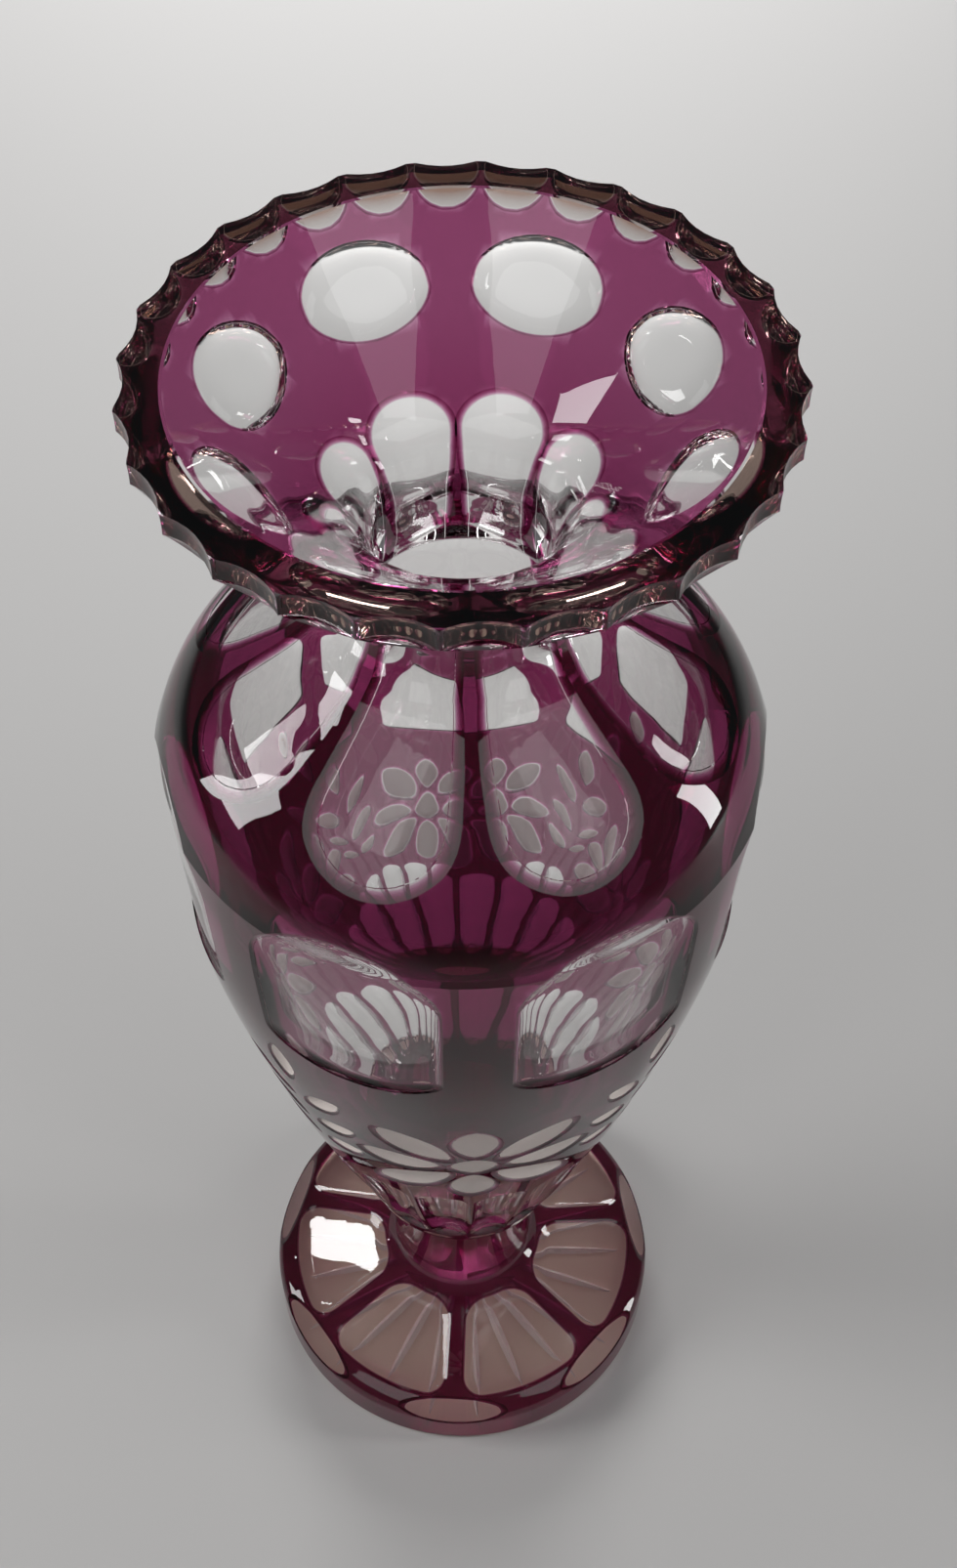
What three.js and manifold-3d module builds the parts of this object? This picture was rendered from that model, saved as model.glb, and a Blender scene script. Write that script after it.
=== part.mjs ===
// Footed glass vase, cased in amethyst over clear crystal and cut through to the clear.
// Millimetres, +Z up, origin in the middle of the resting face, front towards -Y.
// The clear vessel and its coloured casing are one blown piece in two layers. The clear foot,
// with a casing of its own, is joined hot to the underside of the vessel.

import * as THREE from 'three';
import { mergeVertices } from 'three/addons/utils/BufferGeometryUtils.js';
import Module from 'manifold-3d';

const wasm = await Module();
wasm.setup();

// Glass layers
const casingThickness = 0.9;
const layerGap = 0.25;
const bodyWall = 6.3;
const bowlWall = 7.2;
const floorThickness = 12;
const floorCurve = 5;

// Vessel outline: outside radii, and the rise of each stretch over the one below
const joinRadius = 14;
const joinHeight = 50;
const heelRadius = 23;
const heelRise = 10.5;
const ridgeRadius = 54.9;
const bodyRise = 156.5;
const neckRadius = 20.5;
const shoulderRise = 45;
const rimRadius = 51.6;
const bowlRise = 38;
const rimEdgeHeight = 4.2;
const rimLandWidth = 7.3;

// Levels of the vessel that follow from the rises
const heelHeight = joinHeight + heelRise;
const ridgeHeight = heelHeight + bodyRise;
const neckHeight = ridgeHeight + shoulderRise;
const rimHeight = neckHeight + bowlRise;

// Foot outline
const footRadius = 46.8;
const footSideHeight = 11;
const footEdgeRound = 1;
const footEdgeWidth = 3.8;
const footShoulderHeight = 13.6;
const footCrownRadius = 18.6;
const footCrownHeight = 19.6;
const stemRadius = 13.4;
const stemHeight = 40;
const casingHemHeight = 1.2;
const footShoulderRadius = footRadius - footEdgeWidth;

// Share of the half width that is flat floor in the panels of the vessel
const vesselFloorShare = 0.7;

// Rim scallops
const scallopCount = 28;
const scallopWheelRadius = 11.5;
const scallopDepth = 1.5;
const scallopHeight = 7.1;

// Ovals in the bowl, and long flutes from the bowl through the neck to the shoulder
const upperCount = 8;
const ovalHalfWidth = 10.5;
const ovalHeight = 12;
const ovalRimDistance = 8.7;
const ovalDepth = 2.4;
const fluteTopRise = 14.5;
const fluteNeckHalfWidth = 6.4;
const fluteBulbHalfWidth = 15.2;
const fluteNeckDepth = 2.2;
const fluteBulbDepth = 3.2;
const fluteRidgeDistance = 13;

// Tall windows under the ridge, and the short flutes round the heel
const lowerCount = 7;
const windowHalfWidth = 17;
const windowHeight = 44;
const windowRidgeOverrun = 4.5;
const windowDepth = 3;
const heelFluteCount = 18;
const heelFluteHalfWidth = 4.6;
const heelFluteDepth = 1.75;
const heelFluteLength = 49.5;

// Foot panels, edge facets and the star under the foot
const footTurnDegrees = -6;
const footRibWidth = 3;
const footPanelDepth = 1.8;
const footFloorShare = 0.86;
const edgeFacetDepth = 2.1;
const starRayCount = 21;
const starRayDepth = 2.2;
const starRayWidth = 5;
const starInnerRadius = 3;
const restingRingWidth = 8.8;
const starOuterRadius = footRadius - restingRingWidth;

// Fineness of the facets
const roundSteps = 40;
const scallopSteps = 20;
const cutterLid = 2.5;

// Shares of the way from one named station of the outline to the next: [height, radius]
const heelShape = [[0.45, 0.62]];
const bodyShape = [[0.25, 0.383], [0.5, 0.695], [0.72, 0.911], [0.86, 0.978]];
const shoulderShape = [[0.14, 0.055], [0.3, 0.2], [0.6, 0.715], [0.78, 0.93]];
const bowlShape = [[0.22, 0.08], [0.44, 0.325], [0.78, 0.79]];
const stemShape = [[0.343, 0.115], [0.681, 0.346], [0.902, 0.692]];

const degrees = Math.PI / 180;

function stationsBetween(start, shape, end) {
  return shape.map(([up, out]) => [
    start[0] + (end[0] - start[0]) * out,
    start[1] + (end[1] - start[1]) * up,
  ]);
}

// Outside of the vessel from the join with the foot up to the rim, as [radius, height] points.
function vesselOutline() {
  const join = [joinRadius, joinHeight];
  const heel = [heelRadius, heelHeight];
  const ridge = [ridgeRadius, ridgeHeight];
  const neck = [neckRadius, neckHeight];
  const rim = [rimRadius, rimHeight - rimEdgeHeight];
  return [
    join,
    ...stationsBetween(join, heelShape, heel),
    heel,
    ...stationsBetween(heel, bodyShape, ridge),
    ridge,
    ...stationsBetween(ridge, shoulderShape, neck),
    neck,
    ...stationsBetween(neck, bowlShape, rim),
    rim,
    [rimRadius, rimHeight],
  ];
}

// Outside of the foot from the top of its stem down to the floor.
function footOutline() {
  const stem = [stemRadius, stemHeight];
  const crown = [footCrownRadius, footCrownHeight];
  return [
    [joinRadius, joinHeight - layerGap],
    stem,
    ...stationsBetween(stem, stemShape, crown),
    crown,
    [footShoulderRadius, footShoulderHeight],
    [footRadius - footEdgeRound, footSideHeight + footEdgeRound],
    [footRadius, footSideHeight - footEdgeRound],
    [footRadius, 0],
  ];
}

// Unit normal of an outline at one of its points, pointing away from the glass.
// side is +1 for an outline that runs upwards and -1 for one that runs downwards.
function outlineNormal(outline, index, side) {
  const before = outline[Math.max(index - 1, 0)];
  const after = outline[Math.min(index + 1, outline.length - 1)];
  const along = [after[0] - before[0], after[1] - before[1]];
  const length = Math.hypot(...along);
  return [side * along[1] / length, -side * along[0] / length];
}

function offsetOutline(outline, side, distanceAt) {
  return outline.map((point, index) => {
    const normal = outlineNormal(outline, index, side);
    const distance = distanceAt(point);
    return [point[0] - normal[0] * distance, point[1] - normal[1] * distance];
  });
}

// Point and normal where an outline reaches a value of one coordinate, 0 radius or 1 height.
function outlineAt(outline, side, coordinate, value) {
  const reaches = (from, to) => from !== to && (from - value) * (to - value) <= 0;
  const found = outline.slice(1).findIndex((next, i) => reaches(outline[i][coordinate], next[coordinate]));
  const index = found < 0 ? outline.length - 2 : found;
  const start = outline[index];
  const end = outline[index + 1];
  const share = (value - start[coordinate]) / (end[coordinate] - start[coordinate]);
  const from = outlineNormal(outline, index, side);
  const to = outlineNormal(outline, index + 1, side);
  const mixed = [from[0] + (to[0] - from[0]) * share, from[1] + (to[1] - from[1]) * share];
  const length = Math.hypot(...mixed);
  return {
    point: [start[0] + (end[0] - start[0]) * share, start[1] + (end[1] - start[1]) * share],
    normal: [mixed[0] / length, mixed[1] / length],
  };
}

function solidFrom(geometry) {
  const bare = geometry.index ? geometry.toNonIndexed() : geometry;
  const positions = new THREE.BufferGeometry();
  positions.setAttribute('position', bare.getAttribute('position'));
  const merged = mergeVertices(positions, 1e-4);
  const corners = [];
  const index = merged.index.array;
  for (let i = 0; i < index.length; i += 3) {
    const [a, b, c] = [index[i], index[i + 1], index[i + 2]];
    if (a !== b && b !== c && c !== a) corners.push(a, b, c);
  }
  const mesh = new wasm.Mesh({
    numProp: 3,
    vertProperties: new Float32Array(merged.getAttribute('position').array),
    triVerts: new Uint32Array(corners),
  });
  return new wasm.Manifold(mesh);
}

function geometryFrom(solid) {
  const mesh = solid.getMesh();
  const geometry = new THREE.BufferGeometry();
  geometry.setAttribute('position', new THREE.BufferAttribute(new Float32Array(mesh.vertProperties), 3));
  geometry.setIndex(new THREE.BufferAttribute(new Uint32Array(mesh.triVerts), 1));
  geometry.computeVertexNormals();
  return geometry;
}

// Solid of revolution about +Z. The profile runs upwards on the outside and is closed.
function turned(profile) {
  const points = profile.map(([radius, height]) => new THREE.Vector2(Math.max(radius, 0), height));
  const geometry = new THREE.LatheGeometry(points, roundSteps);
  geometry.rotateX(Math.PI / 2);
  return solidFrom(geometry);
}

// Closed skin over a row of rings that all have the same number of points.
function loft(rings) {
  const count = rings[0].length;
  const positions = rings.flat(2);
  const index = [];
  for (let ring = 0; ring + 1 < rings.length; ring += 1) {
    for (let i = 0; i < count; i += 1) {
      const a = ring * count + i;
      const b = ring * count + (i + 1) % count;
      index.push(a, b, a + count, b, b + count, a + count);
    }
  }
  const top = (rings.length - 1) * count;
  for (let i = 1; i + 1 < count; i += 1) {
    index.push(0, i + 1, i);
    index.push(top, top + i, top + i + 1);
  }
  const geometry = new THREE.BufferGeometry();
  geometry.setAttribute('position', new THREE.Float32BufferAttribute(positions, 3));
  geometry.setIndex(index);
  return geometry;
}

// Ring of a panel cutter across the surface: a flat ground floor, flanks that leave the glass
// at the half width across, and a lid clear above. depth is how far the floor lies under the
// middle of the surface, floorShare how much of the half width it takes.
function cutRing({ point, normal }, across, depth, floorShare) {
  const drop = across * across * Math.abs(normal[0]) / (2 * point[0]);
  const flat = floorShare * across;
  const reach = across + (across - flat) / 2;
  const flank = Math.max(depth - drop, 0) * 1.5 - depth;
  const lid = Math.max(flank, 0) + cutterLid;
  const ground = [[-reach, flank], [-flat, -depth], [flat, -depth], [reach, flank]];
  const ring = [...ground, [reach, lid], [-reach, lid]];
  return ring.map(([sideways, up]) => [
    sideways,
    -(point[0] + normal[0] * up),
    point[1] + normal[1] * up,
  ]);
}

// Panel ground along an outline at the front, from stations of {at, across, depth}. A station
// with a negative depth lies clear above the glass and ends the cut.
function panelCutter(outline, side, coordinate, stations, floorShare) {
  const rings = stations.map(({ at, across, depth }) =>
    cutRing(outlineAt(outline, side, coordinate, at), across, depth, floorShare));
  const solid = solidFrom(loft(rings));
  return solid.volume() > 0 ? solid : solidFrom(flipped(loft(rings)));
}

function flipped(geometry) {
  const index = geometry.index.array;
  for (let i = 0; i < index.length; i += 3) {
    [index[i], index[i + 1]] = [index[i + 1], index[i]];
  }
  return geometry;
}

// Copies of a cutter round the axis, the first one turned by offset degrees.
function around(cutter, count, offset) {
  const copies = [];
  for (let i = 0; i < count; i += 1) {
    copies.push(cutter.rotate([0, 0, offset + i * 360 / count]));
  }
  return copies;
}

function cut(solid, cutters) {
  return cutters.reduce((left, cutter) => left.subtract(cutter), solid);
}

function scallopCutters() {
  const above = 1;
  const taper = scallopDepth * (scallopHeight + above) / scallopHeight;
  const wheel = new THREE.CylinderGeometry(
    scallopWheelRadius, scallopWheelRadius - taper, scallopHeight + above,
    scallopSteps, 1, false, Math.PI / scallopSteps,
  );
  wheel.rotateX(Math.PI / 2);
  const axisRadius = rimRadius + scallopWheelRadius - scallopDepth;
  wheel.translate(0, -axisRadius, rimHeight + (above - scallopHeight) / 2);
  return around(solidFrom(wheel), scallopCount, 0);
}

// The rows of numbers in the next functions are stations: share of the way up, share of the half
// width and share of the depth.
function ovalCutters(outline) {
  const top = rimHeight - ovalRimDistance;
  const stations = [
    [0, 0.4, -0.3], [0.3, 0.95, 0.9], [0.7, 0.95, 0.9], [1, 0.4, -0.3],
  ].map(([share, wide, deep]) => ({
    at: top - ovalHeight * (1 - share),
    across: ovalHalfWidth * wide,
    depth: ovalDepth * deep,
  }));
  return around(panelCutter(outline, 1, 1, stations, vesselFloorShare), upperCount, 180 / upperCount);
}

function fluteCutters(outline) {
  const low = ridgeHeight + fluteRidgeDistance;
  const high = neckHeight + fluteTopRise;
  const lowSpan = neckHeight - low;
  const highSpan = high - neckHeight;
  const bulb = [[0, 0.45, -0.12], [0.13, 0.92, 0.9]].map(([share, wide, deep]) => ({
    at: low + lowSpan * share,
    across: fluteBulbHalfWidth * wide,
    depth: fluteBulbDepth * deep,
  }));
  const throat = [[0.46, 1.5], [0.72, 1.15]].map(([share, wide]) => ({
    at: low + lowSpan * share,
    across: fluteNeckHalfWidth * wide,
    depth: (fluteNeckDepth + fluteBulbDepth) / 2,
  }));
  const neck = [
    [0, 1, 1], [0.5, 1.15, 1], [0.85, 1.3, 0.85], [1, 0.7, -0.2],
  ].map(([share, wide, deep]) => ({
    at: neckHeight + highSpan * share,
    across: fluteNeckHalfWidth * wide,
    depth: fluteNeckDepth * deep,
  }));
  const cutter = panelCutter(outline, 1, 1, [...bulb, ...throat, ...neck], vesselFloorShare);
  return around(cutter, upperCount, 180 / upperCount);
}

function windowCutters(outline) {
  const top = ridgeHeight + windowRidgeOverrun;
  const low = top - windowHeight;
  const stations = [
    [0, 0.86, -0.1], [0.08, 0.98, 0.95], [0.6, 1.03, 1], [0.9, 0.8, 0.8], [1, 0.4, -0.1],
  ].map(([share, wide, deep]) => ({
    at: low + windowHeight * share,
    across: windowHalfWidth * wide,
    depth: windowDepth * deep,
  }));
  return around(panelCutter(outline, 1, 1, stations, vesselFloorShare), lowerCount, 180 / lowerCount);
}

function heelFluteCutters(outline) {
  const span = heelFluteLength;
  const stations = [
    [0.02, 0.52, -0.15], [0.1, 0.62, 1], [0.88, 1.04, 1], [1, 0.9, -0.15],
  ].map(([share, wide, deep]) => ({
    at: heelHeight + span * share,
    across: heelFluteHalfWidth * wide,
    depth: heelFluteDepth * deep,
  }));
  const cutter = panelCutter(outline, 1, 1, stations, vesselFloorShare);
  return around(cutter, heelFluteCount, 180 / heelFluteCount);
}

function footPanelCutters(outline) {
  const inner = footCrownRadius;
  const outer = footShoulderRadius;
  const slope = Math.sin(Math.PI / lowerCount);
  const stations = [
    [0, 0.6, -0.2], [0.12, 0.95, 1], [0.85, 1, 1], [1, 0.5, -0.2],
  ].map(([share, wide, deep]) => {
    const radius = inner + (outer - inner) * share;
    return {
      at: radius,
      across: (radius * slope - footRibWidth / 2) * wide,
      depth: footPanelDepth * deep,
    };
  });
  const cutter = panelCutter(outline, -1, 0, stations, footFloorShare);
  return around(cutter, lowerCount, footTurnDegrees + 180 / lowerCount);
}

// Flat facets ground across the upper edge of the foot, one below each rib.
function edgeFacetCutters() {
  const size = footRadius;
  const facet = new THREE.BoxGeometry(size, size / 2, size / 4);
  facet.translate(0, 0, size / 8);
  facet.rotateX(45 * degrees);
  facet.translate(0, -(footRadius - Math.SQRT2 * edgeFacetDepth), footSideHeight + footEdgeRound);
  return around(solidFrom(facet), lowerCount, footTurnDegrees);
}

// V grooves of the star under the foot.
function starCutters() {
  const length = starOuterRadius - starInnerRadius;
  const section = new THREE.Shape([
    new THREE.Vector2(-starRayWidth / 2, -starRayDepth),
    new THREE.Vector2(starRayWidth / 2, -starRayDepth),
    new THREE.Vector2(0, starRayDepth),
  ]);
  const ray = new THREE.ExtrudeGeometry(section, { depth: length, bevelEnabled: false });
  ray.rotateX(Math.PI / 2);
  ray.translate(0, -starInnerRadius, 0);
  return around(solidFrom(ray), starRayCount, footTurnDegrees + 180 / starRayCount);
}

function vesselCasing(outline, cutters) {
  const inner = offsetOutline(outline, 1, () => casingThickness);
  inner[0] = [joinRadius - casingThickness, joinHeight];
  inner[inner.length - 1] = [rimRadius - casingThickness, rimHeight];
  const profile = [...outline, ...inner.reverse(), outline[0]];
  return cut(turned(profile), cutters);
}

function vesselCrystal(outline, cutters) {
  const under = casingThickness + layerGap;
  const outside = offsetOutline(outline, 1, () => under);
  outside[0] = [joinRadius - under, joinHeight];
  outside[outside.length - 1] = [rimRadius - under, rimHeight];
  const floorHeight = heelHeight + floorThickness;
  const mouthRadius = rimRadius - rimLandWidth;
  const wallAt = ([, height]) => (height > neckHeight ? bowlWall : bodyWall);
  const bore = offsetOutline(outline, 1, wallAt)
    .filter(([radius, height]) => height > floorHeight + 2 * floorCurve && radius < mouthRadius)
    .filter(([, height]) => height < rimHeight - rimEdgeHeight / 2);
  bore.push([mouthRadius, rimHeight]);
  const corner = outlineAt(outline, 1, 1, floorHeight + floorCurve).point[0] - bodyWall;
  const profile = [
    [0, joinHeight],
    ...outside,
    ...bore.reverse(),
    [corner, floorHeight + floorCurve],
    [corner * 0.6, floorHeight + floorCurve * 0.2],
    [0, floorHeight],
  ];
  return cut(turned(profile), cutters);
}

function footCasing(outline, cutters) {
  const skin = offsetOutline(outline, -1, () => casingThickness);
  skin[0] = [joinRadius - casingThickness, outline[0][1]];
  const outside = [...outline];
  outside[outside.length - 1] = [footRadius, casingHemHeight];
  skin[skin.length - 1] = [footRadius - casingThickness, casingHemHeight];
  const profile = [...outside.reverse(), ...skin];
  return cut(turned([...profile, profile[0]]), cutters);
}

function footCrystal(outline, cutters) {
  const under = casingThickness + layerGap;
  const outside = offsetOutline(outline, -1, () => under);
  outside[0] = [joinRadius - under, outline[0][1]];
  outside[outside.length - 1] = [footRadius - under, 0];
  const profile = [[0, 0], ...outside.reverse(), [0, outline[0][1]]];
  return cut(turned(profile), cutters);
}

function named(name, solid, material) {
  const mesh = new THREE.Mesh(geometryFrom(solid), material);
  mesh.name = name;
  return mesh;
}

const crystal = new THREE.MeshStandardMaterial({ color: 0xd9d3cb, roughness: 0.03, metalness: 0 });
const amethyst = new THREE.MeshStandardMaterial({ color: 0x6d1848, roughness: 0.03, metalness: 0 });

const vessel = vesselOutline();
const foot = footOutline();
const vesselCuts = [
  ...scallopCutters(),
  ...ovalCutters(vessel),
  ...fluteCutters(vessel),
  ...windowCutters(vessel),
  ...heelFluteCutters(vessel),
];
const footCuts = [...footPanelCutters(foot), ...edgeFacetCutters()];

const vase = new THREE.Group();
vase.add(
  named('vessel_crystal', vesselCrystal(vessel, vesselCuts), crystal),
  named('vessel_casing', vesselCasing(vessel, vesselCuts), amethyst),
  named('foot_crystal', footCrystal(foot, [...footCuts, ...starCutters()]), crystal),
  named('foot_casing', footCasing(foot, footCuts), amethyst),
);

export default vase;
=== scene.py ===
# %% [markdown]
# # A cased and cut glass vase
# The vase is blown in two layers: clear crystal with a thin skin of amethyst glass over it. A
# cutter then grinds panels, flutes, thumbprints and flowers through the skin, so that the clear
# glass shows. A pattern painted on one body of glass would be simpler, but it would have no bevels
# and bend no light at the edge of a cut. So the lesson builds each layer as a turned surface, grinds
# it with the same wheels as the real one, and gives each face the finish that it has in the hand.

# %% Load the measured frame
import bpy
import math
import numpy as np
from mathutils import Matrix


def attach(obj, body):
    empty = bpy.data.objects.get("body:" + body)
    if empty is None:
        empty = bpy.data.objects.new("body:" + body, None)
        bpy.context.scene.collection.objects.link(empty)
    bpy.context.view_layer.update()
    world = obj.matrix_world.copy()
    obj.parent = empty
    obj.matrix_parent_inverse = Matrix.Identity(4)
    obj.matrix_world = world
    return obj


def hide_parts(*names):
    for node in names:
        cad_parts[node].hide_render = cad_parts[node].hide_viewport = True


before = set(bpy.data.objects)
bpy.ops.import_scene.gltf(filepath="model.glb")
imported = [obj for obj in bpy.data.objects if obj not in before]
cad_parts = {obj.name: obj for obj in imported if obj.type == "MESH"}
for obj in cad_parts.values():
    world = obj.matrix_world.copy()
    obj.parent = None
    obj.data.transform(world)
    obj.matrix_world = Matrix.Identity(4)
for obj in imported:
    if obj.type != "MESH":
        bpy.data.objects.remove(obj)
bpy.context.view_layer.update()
print("frame nodes:", sorted(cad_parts))

# %% [markdown]
# ## Camera
# The vase is seen from above, looking down at about fifty two degrees, with the camera about one
# vase height off the rim. That is why the bowl looks so wide and the foot so small. The lens and the
# place could be set by eye, but so near a tall vase each error shows. They come from fitting the rim,
# the ridge and the foot as circles.

# %% Set the camera
CAMERA_TURN = math.radians(-3.0)
CAMERA_REACH = 0.2396
CAMERA_HEIGHT = 0.5069
CAMERA_PITCH = math.radians(51.92)
CAMERA_LENS = 48.31
CAMERA_SHIFT = 0.0103

lens = bpy.data.cameras.new("studio_camera")
lens.sensor_fit = "VERTICAL"
lens.sensor_height = 36.0
lens.lens = CAMERA_LENS
lens.shift_x = CAMERA_SHIFT
lens.clip_start = 0.01
camera = bpy.data.objects.new("studio_camera", lens)
camera.location = (CAMERA_REACH * math.sin(CAMERA_TURN),
                   -CAMERA_REACH * math.cos(CAMERA_TURN),
                   CAMERA_HEIGHT)
camera.rotation_euler = (math.pi / 2 - CAMERA_PITCH, 0.0, CAMERA_TURN)
bpy.context.scene.collection.objects.link(camera)
bpy.context.scene.camera = camera
print("camera at", tuple(round(v, 3) for v in camera.location))

# %% [markdown]
# ## Outlines
# A gaffer shapes the vase by spinning it, so each layer is a surface of revolution. Its outline is
# a row of measured stations in millimetres, radius and height, joined by smooth curves. The ridge
# under the shoulder and the lower edge of the rim are real corners, so the outline is kept as
# separate sections that meet there. A Screw modifier on a curve would turn the same shape. It is
# worked out here because glass needs the exact normals as well, and the cuts need the distance along
# the outline.

# %% Measured stations of the outlines
JOIN_RADIUS = 14.0
JOIN_HEIGHT = 50.0
RIDGE_RADIUS = 54.9
RIDGE_HEIGHT = 217.0
RIM_RADIUS = 51.6
RIM_EDGE_HEIGHT = 295.8
VASE_HEIGHT = 300.0
RIM_BEVEL = 0.3
BORE_FLOOR_HEIGHT = 72.5
FOOT_RADIUS = 46.8
FOOT_TOP_HEIGHT = 49.75
HEM_HEIGHT = 1.2
BASE_RADIUS = 45.4
BASE_EDGE_HEIGHT = 0.4

LOWER_STATIONS = [(JOIN_RADIUS, JOIN_HEIGHT), (16.6, 51.6), (19.9, 54.8), (22.3, 58.6), (23.6, 63),
                  (25.6, 69), (29.35, 80), (35.2, 100), (40.6, 120), (45.45, 140), (49.8, 160),
                  (52.9, 180), (54.3, 200), (RIDGE_RADIUS, RIDGE_HEIGHT)]
UPPER_STATIONS = [(RIDGE_RADIUS, RIDGE_HEIGHT), (53.2, 222), (50.1, 228), (46.8, 232), (42, 236),
                  (36, 240), (29.6, 244.5), (24.2, 250), (21.3, 256), (20.5, 262), (21.8, 267.5),
                  (26.3, 273), (32, 278.2), (38, 283.2), (44, 288.4), (49, 292.9),
                  (RIM_RADIUS, RIM_EDGE_HEIGHT)]
RIM_STATIONS = [(RIM_RADIUS, RIM_EDGE_HEIGHT), (RIM_RADIUS, VASE_HEIGHT)]
RIM_INNER_EDGE = [(44.8, VASE_HEIGHT), (44.3, 299.88)]
BORE_STATIONS = [(44.0, 299.6), (40, 296.1), (32, 288.8), (26, 283.2), (22.4, 279.4), (19.4, 275.6),
                 (16.9, 271.6), (15.4, 267), (14.6, 261), (14.5, 254.5), (15.7, 249.8), (18.8, 246),
                 (24.4, 242.2), (30, 238.4), (36, 234.2), (41.5, 229.6), (45.2, 224.5), (47.6, 218),
                 (48.3, 208), (47.6, 190), (45.3, 170), (41.6, 150), (36.6, 130), (31.2, 110), (26.2, 92),
                 (22.6, 81.5), (18.5, 76), (12, 73.2), (5, 72.6)]
FOOT_STATIONS = [[(FOOT_RADIUS, 0.0), (FOOT_RADIUS, 10.0)],
                 [(FOOT_RADIUS, 10.0), (46.3, 11.4), (45.2, 12.5), (43.0, 13.6)],
                 [(43.0, 13.6), (31, 16.5), (18.6, 19.6)],
                 [(18.6, 19.6), (16.6, 21.8), (15.0, 26.0), (13.9, 33.0), (13.5, 40.0), (13.7, 46.5),
                  (JOIN_RADIUS, FOOT_TOP_HEIGHT)]]

SKIN_MM = 0.34
HAIR_MM = 0.02
print("stations:", len(LOWER_STATIONS), "below the ridge,", len(UPPER_STATIONS), "above it")

# %% Smooth outlines and their normals
OUTLINE_STEP = 0.25


def smooth_curve(points):
    """Cubic Hermite curve through the stations. Between two of them the point is the blend of both
    ends and both end tangents, and a tangent is the slope of the parabola through its neighbours."""
    p = np.asarray(points, float)
    gap = np.hypot(*np.diff(p, axis=0).T)
    along = np.concatenate([[0.0], np.cumsum(gap)])
    if len(p) > 2:
        slope = np.gradient(p, along, axis=0)
    else:
        slope = np.tile(np.diff(p, axis=0) / gap[:, None], (2, 1))
    at = np.linspace(0, along[-1], max(int(along[-1] / OUTLINE_STEP), 2) + 1)
    k = np.clip(np.searchsorted(along, at, side="right") - 1, 0, len(gap) - 1)
    h = gap[k]
    u = (at - along[k]) / h
    start = (1 + 2 * u) * (1 - u) ** 2
    end = u * u * (3 - 2 * u)
    start_slope = u * (1 - u) ** 2 * h
    end_slope = u * u * (u - 1) * h
    return (start[:, None] * p[k] + end[:, None] * p[k + 1]
            + start_slope[:, None] * slope[k] + end_slope[:, None] * slope[k + 1])


def outline_normals(outline):
    """Unit normals of an upward outline: the tangent turned a quarter turn away from the axis."""
    tangent = np.gradient(outline, axis=0)
    length = np.hypot(*tangent.T)
    return np.stack([tangent[:, 1], -tangent[:, 0]], 1) / length[:, None]


def softened(normals, reach):
    """Running mean of the normals over the given number of steps, brought back to unit length."""
    width = 2 * reach + 1
    padded = np.pad(normals, ((reach, reach), (0, 0)), mode="edge")
    mean = np.stack([np.convolve(padded[:, i], np.ones(width) / width, "valid") for i in (0, 1)], 1)
    return mean / np.hypot(*mean.T)[:, None]


def make_skin(sections, spare_top, soft_mm):
    """Outline of a layer with its arc length and normals. The outline is carried spare_top mm past
    its upper end for the cutting wheels only."""
    curves = [smooth_curve(part) for part in sections]
    outline = np.vstack([curves[0]] + [part[1:] for part in curves[1:]])
    true_normals = [outline_normals(part) for part in curves]
    last = len(outline)
    if spare_top:
        rise = np.arange(1, int(spare_top / OUTLINE_STEP) + 1)[:, None] * OUTLINE_STEP
        way = outline[-1] - outline[-2]
        outline = np.vstack([outline, outline[-1] + rise * way / np.hypot(*way)])
    arc = np.concatenate([[0.0], np.cumsum(np.hypot(*np.diff(outline, axis=0).T))])
    soft = softened(outline_normals(outline), int(soft_mm / OUTLINE_STEP))
    return {"outline": outline, "arc": arc, "soft": soft, "last": last,
            "curves": curves, "normals": true_normals}


vessel_skin = make_skin([LOWER_STATIONS, UPPER_STATIONS, RIM_STATIONS], 4.0, 5.0)
foot_skin = make_skin(FOOT_STATIONS, 0.0, 1.0)
bore = smooth_curve(BORE_STATIONS)
print("vessel outline:", vessel_skin["last"], "points, bore:", len(bore), "points")

# %% [markdown]
# ## Turned blanks
# Each blank is a closed outline carried round the axis. Rows lie closer together where the outline
# bends, so that the glass bends light smoothly there. Even rows would need many more faces for that.
# A point on the axis becomes one vertex.

# %% Choose the rows of a blank


def spaced_rows(outline, longest=3.2, bend_degrees=4.5):
    """Picks rows by a running sum of length over the longest step plus bend over the largest bend."""
    chord = np.diff(outline, axis=0)
    length = np.hypot(*chord.T)
    heading = np.unwrap(np.arctan2(chord[:, 1], chord[:, 0]))
    bend = np.abs(np.concatenate([[0.0], np.diff(heading)]))
    measure = np.concatenate([[0.0], np.cumsum(length / longest + bend / math.radians(bend_degrees))])
    wanted = np.linspace(0, measure[-1], int(math.ceil(measure[-1])) + 1)
    return np.unique(np.searchsorted(measure, wanted - 1e-9))


print("rows on the bore:", len(spaced_rows(bore)), "of", len(bore), "points")

# %% Turn a closed profile
TURN_STEPS = 216
TURN_STEPS_CASING = 240


def new_object(name, vertices, faces, slots, materials):
    """Mesh object from arrays, in metres: vertices as an n by 3 array and faces as index rows."""
    mesh = bpy.data.meshes.new(name)
    mesh.from_pydata(vertices, [], faces)
    for material in materials:
        mesh.materials.append(material)
    mesh.polygons.foreach_set("material_index", np.asarray(slots, np.int32))
    mesh.polygons.foreach_set("use_smooth", np.ones(len(faces), bool))
    mesh.update()
    obj = bpy.data.objects.new(name, mesh)
    bpy.context.scene.collection.objects.link(obj)
    return obj


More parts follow.
